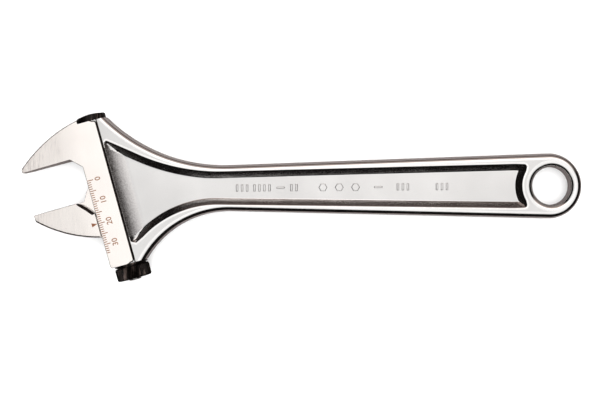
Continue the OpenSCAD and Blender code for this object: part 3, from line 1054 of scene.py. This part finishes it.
def ground_steel():
    """Ground and polished faces of the head, with fine lines along the slide."""
    n = Nodes("ground_steel")
    lines = n.noise(2600, 4, (1, 0.035, 1), HEAD_TURN)
    clouds = n.noise(60, 3)
    streaks = n.noise(1300, 3, (1, 0.1, 1), math.radians(-50))
    x = n.add("ShaderNodeSeparateXYZ")
    n.link(n.coordinates, x.inputs["Vector"])
    # Darker towards the jaw tips: painted shade of the taper, broken into streaks of wear
    towards_tip = n.spread(x.outputs["X"], 1.0, 0.0, -0.243, -0.222)
    tip_shade_and_wear = n.math("MULTIPLY", towards_tip, n.spread(streaks, 0.18, 0.5))
    value = n.math("SUBTRACT", n.spread(clouds, 0.42, 0.7), tip_shade_and_wear)
    n.colours(value, (0.0, (0.52, 0.46, 0.45)), (0.4, (0.94, 0.88, 0.835)), (0.7, (0.99, 0.94, 0.895)))
    n.surface(1.0, n.spread(lines, 0.17, 0.26))
    n.bump([(lines, 0.04), (n.noise(220, 2), 0.03)], 0.00003)
    return n.material


def black_oxide():
    """Blackened steel with a thin oily film and brownish wear."""
    n = Nodes("black_oxide")
    wear = n.noise(620, 4, (1, 0.12, 1), HEAD_TURN)
    n.colours(wear, (0.38, (0.004, 0.0034, 0.003)), (0.56, (0.012, 0.0095, 0.0085)),
              (0.7, (0.13, 0.10, 0.088)))
    n.surface(0.85, n.spread(n.noise(1500, 3), 0.24, 0.42))
    n.bump([(n.noise(2600, 3), 0.2)], 0.00002)
    return n.material


def dark_edge():
    """Cut edges at the step and along the moving jaw, painted dark with a mottled tone: a painted dark reflection
    of these polished bevels.
    """
    n = Nodes("dark_edge")
    reflection_mottle = n.noise(420, 3)
    n.colours(reflection_mottle, (0.35, (0.020, 0.017, 0.016)), (0.75, (0.075, 0.058, 0.05)))
    n.surface(0.9, n.spread(n.noise(1300, 3), 0.25, 0.4))
    n.bump([(n.noise(2400, 3), 0.15)], 0.00002)
    return n.material


def screw_steel():
    """Machined steel with turning marks and a little oil."""
    n = Nodes("screw_steel")
    lines = n.noise(3000, 3, (0.05, 1, 1), HEAD_TURN)
    n.colours(n.noise(300, 3), (0.3, (0.36, 0.35, 0.335)), (0.7, (0.48, 0.465, 0.445)))
    n.surface(1.0, n.spread(lines, 0.22, 0.40))
    n.bump([(lines, 0.15)], 0.00003)
    return n.material


def etched_ink(name, light, dark):
    """The brown ink of the scale and the pointer."""
    n = Nodes(name)
    n.colours(n.noise(1400, 3), (0.3, dark), (0.7, light))
    n.surface(0.0, n.spread(n.noise(2600, 2), 0.45, 0.65))
    n.bump([(n.noise(5000, 2), 0.2)], 0.00001)
    return n.material


def dress(obj, *materials):
    obj.data.materials.clear()
    for material in materials:
        obj.data.materials.append(material)


def face_facts(mesh):
    """The centre of every face in mm, and its normal."""
    centre, normal = np.zeros((2, len(mesh.polygons) * 3))
    mesh.polygons.foreach_get("center", centre)
    mesh.polygons.foreach_get("normal", normal)
    return centre.reshape(-1, 3) / MM, normal.reshape(-1, 3)


def dress_body(body, *materials):
    """Satin with painted shade beside the step in the recess (0), polish on rims and walls (1), ground head (2),
    the step's bevel painted dark as a painted dark reflection (3) and satin without the painted shade on the wide
    flats around the hole and on the shoulders (4)."""
    dress(body, *materials)
    centre, normal = face_facts(body.data)
    plan = centre[:, :2]
    u, w = plan_to_head(plan).T
    height, facing = np.abs(centre[:, 2]), np.abs(normal[:, 2])
    pocket = recess_outline()
    deep = inside(plan, [pocket]) & (distance(plan, recess_flanks(pocket), False) > WALL_RUN + 0.35)
    index = np.where(deep, 0, 1)
    index[on_wide_flat(plan, pocket, 0) & (facing > 0.98)] = 4
    on_plate = (u < STEP_U + 0.02) & (height > UNDER_STEP_HALF + 0.02)
    on_jaw = (u < THROAT_U + 1.0) & (w > -6)
    index[on_plate | on_jaw | (u < -2)] = 2
    # The step's bevel takes the painted dark reflection (3)
    on_step = (u > STEP_U - STEP_CHAMFER - 0.6) & (u < STEP_U + 0.02) & (height > 5.9)
    index[on_step & (facing < 0.97) & (w < CAP_SEAT - 0.1) & (w > BUSH_SEAT + 0.1)] = 3
    body.data.polygons.foreach_set("material_index", index.astype(np.int32))


def dress_jaw(jaw, ground, dark):
    """Ground all over but for the bevel along the stepped edge beside the throat, which gets the painted dark
    reflection.
    """
    dress(jaw, ground, dark)
    centre, normal = face_facts(jaw.data)
    u, w = plan_to_head(centre[:, :2]).T
    w = w + OPENING
    step = (u > -16.0) & (u < JAW_EDGE_U + 0.1) & (w > -8.5) & (w < 0.1)
    above = np.abs(centre[:, 2]) > TONGUE_HALF + 0.05
    # The bevel is painted dark: a painted dark reflection
    bevel = step & above & (np.abs(normal[:, 2]) < 0.95)
    jaw.data.polygons.foreach_set("material_index", bevel.astype(np.int32))
    return jaw


# ---------- studio ----------

# The default colours are the tables': painted shade of the floor beside the wrench, seen only in reflections
def make_floor_piece(name, plan, z, colours=((0.14, 0.122, 0.12), (0.17, 0.152, 0.148))):
    """A flat stage piece from a plan outline, both in mm."""
    plane = mesh_object(name, [(x, y, z) for x, y in plan], [tuple(range(len(plan)))])
    n = Nodes(name)
    n.colours(n.noise(3, 2), (0.3, colours[0]), (0.7, colours[1]))
    n.shader.inputs["Roughness"].default_value = 0.9
    n.shader.inputs["Specular IOR Level"].default_value = 0.1
    dress(plane, n.material)
    return plane


def make_floor(low):
    """A pale sweep just below the wrench. Polished edges see a darker table in its place: a sheet seen only in
    reflections, painted shade standing in for the floor in the wrench's shade.
    """
    z = low[2] / MM - FLOOR_GAP
    size = 3000
    corners = [(-size, -size), (size, -size), (size, size), (-size, size)]
    sweep = make_floor_piece("floor", corners, z, ((0.90, 0.90, 0.90), (0.92, 0.92, 0.92)))
    sweep.visible_glossy = False
    outline = grip_outline()
    beside = outline - inward(outline) * TABLE_REACH
    around = arc(*TABLE_HEAD, 0, 360, 3)[:-1]
    for i, points in enumerate((beside[outline[:, 0] > HEAD_X], around, TABLE_BEYOND)):
        table = make_floor_piece("floor_reflected_%d" % i, points, low[2] / MM - TABLE_GAP * (i + 1))
        table.visible_camera = False
        table.visible_diffuse = False
        table.visible_shadow = False


def make_area(name, high, size, power, spread=180.0):
    """A rectangular light above the wrench, pointing straight down."""
    data = bpy.data.lights.new(name, "AREA")
    data.shape = "RECTANGLE"
    data.size, data.size_y = size
    data.energy = power
    data.spread = math.radians(spread)
    light = add_object(name, data)
    light.location = (LIGHT_X, 0, high)
    light.rotation_mode = "QUATERNION"
    light.rotation_quaternion = Vector((0, 0, -high)).to_track_quat("-Z", "Y")
    return light


def make_world():
    """Dark studio walls with one paler, warm wall beyond the wrench's upper edge."""
    world = bpy.data.worlds.new("studio")
    bpy.context.scene.world = world
    world.use_nodes = True
    tree = world.node_tree
    nodes, links = tree.nodes, tree.links
    background = nodes["Background"]
    coordinates = nodes.new("ShaderNodeTexCoord")

    def vector_math(operation, value, other=None):
        node = nodes.new("ShaderNodeVectorMath")
        node.operation = operation
        links.new(value, node.inputs[0])
        if other is not None:
            node.inputs[1].default_value = other
        return node.outputs["Value" if operation == "DOT_PRODUCT" else "Vector"]

    def ramp_along(way, direction, *stops):
        ramp = nodes.new("ShaderNodeValToRGB")
        ramp.color_ramp.interpolation = "EASE"
        set_stops(ramp.color_ramp, stops)
        links.new(vector_math("DOT_PRODUCT", way, direction), ramp.inputs["Fac"])
        return ramp.outputs["Color"]

    def mix(kind, a, b, factor=1.0):
        node = nodes.new("ShaderNodeMix")
        node.data_type = "RGBA"
        node.blend_type = kind
        for value, socket in ((factor, node.inputs[0]), (a, node.inputs[6]), (b, node.inputs[7])):
            if isinstance(value, (float, tuple)):
                socket.default_value = value
            else:
                links.new(value, socket)
        return node.outputs[2]

    black, white = (0.0, 0.0, 0.0), (1.0, 1.0, 1.0)
    side = math.radians(WARM_WALL_TURN)
    way = coordinates.outputs["Generated"]
    level = vector_math("NORMALIZE", vector_math("MULTIPLY", way, (1.0, 1.0, 0.0)))
    facing = ramp_along(level, (math.cos(side), math.sin(side), 0.0), (0.62, black), (0.86, white))
    height = ramp_along(
        way, (0.0, 0.0, 1.0),
        (0.0, black), (0.10, (0.02, 0.016, 0.015)), (0.32, WARM_WALL), (0.8, WARM_HIGH),
    )
    warm = mix("MULTIPLY", facing, height)
    room = mix("ADD", warm, (0.006, 0.005, 0.005, 1.0))
    path = nodes.new("ShaderNodeLightPath")
    seen = mix("MIX", room, (0.86, 0.86, 0.86, 1.0), path.outputs["Is Camera Ray"])
    links.new(seen, background.inputs["Color"])
    background.inputs["Strength"].default_value = 1.0


def make_camera():
    """Straight above the wrench's broad face, at the distance that the product shot was taken from."""
    data = bpy.data.cameras.new("camera")
    data.sensor_width = 36.0
    data.lens = data.sensor_width / 2 * CAMERA_FAR / (FRAME_WIDE / 2)
    camera = add_object("camera", data)
    camera.location = (CAMERA_X * MM, CAMERA_Y * MM, CAMERA_FAR * MM)
    camera.rotation_euler = (0, 0, -math.radians(CAMERA_ROLL))
    bpy.context.scene.camera = camera


# ---------- the scene ----------

def main():
    body = make_body()
    # satin_chrome carries painted shade beside the step; satin_chrome_flat is the same finish without it
    satin, flat = satin_chrome("satin_chrome", 1.0), satin_chrome("satin_chrome_flat", 0.0)
    polished, ground = polished_chrome(), ground_steel()
    black, steel, dark = black_oxide(), screw_steel(), dark_edge()
    tan = etched_ink("scale_fill", (0.22, 0.105, 0.055), (0.12, 0.052, 0.024))
    brown = etched_ink("pointer_fill", (0.20, 0.075, 0.03), (0.08, 0.03, 0.014))
    dress_body(body, satin, polished, ground, dark, flat)
    pieces = [
        (body, "body", "wrench_body", "forged_chrome", None),
        (dress_jaw(make_moving_jaw(), ground, dark), "jaw", "moving_jaw", "ground_steel", None),
        (make_spindle(), "screw", "adjusting_spindle", "screw_steel", steel),
        (make_nut(), "screw", "side_nut", "black_steel", black),
        (make_cap(), "body", "top_cap", "black_steel", black),
        (make_bush(), "body", "flange_bush", "black_steel", black),
        (make_thrust_washer(), "body", "thrust_washer", "black_steel", black),
        (make_ticks(), "body", None, "scale_ink", tan),
        (make_figures(), "body", None, "scale_ink", tan),
        (make_pointer(), "jaw", None, "scale_ink", brown),
    ]
    for piece, rides_on, node, slot, material in pieces:
        if material:
            dress(piece, material)
        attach(piece, rides_on)
        if node:
            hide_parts(node)
    for node in ("nut_pin", "bush_pin", "spring_washer"):
        dress(frame["nodes"][node], steel)

    make_floor(cad_low)
    make_area("overhead", OVERHEAD_HIGH, OVERHEAD_SIZE, OVERHEAD_POWER, SOFTBOX_SPREAD)
    fill = make_area("floor_fill", FILL_HIGH, FILL_SIZE, FILL_POWER)
    fill.visible_glossy = False
    make_world()
    make_camera()
    bpy.context.scene.view_settings.view_transform = "Standard"


main()
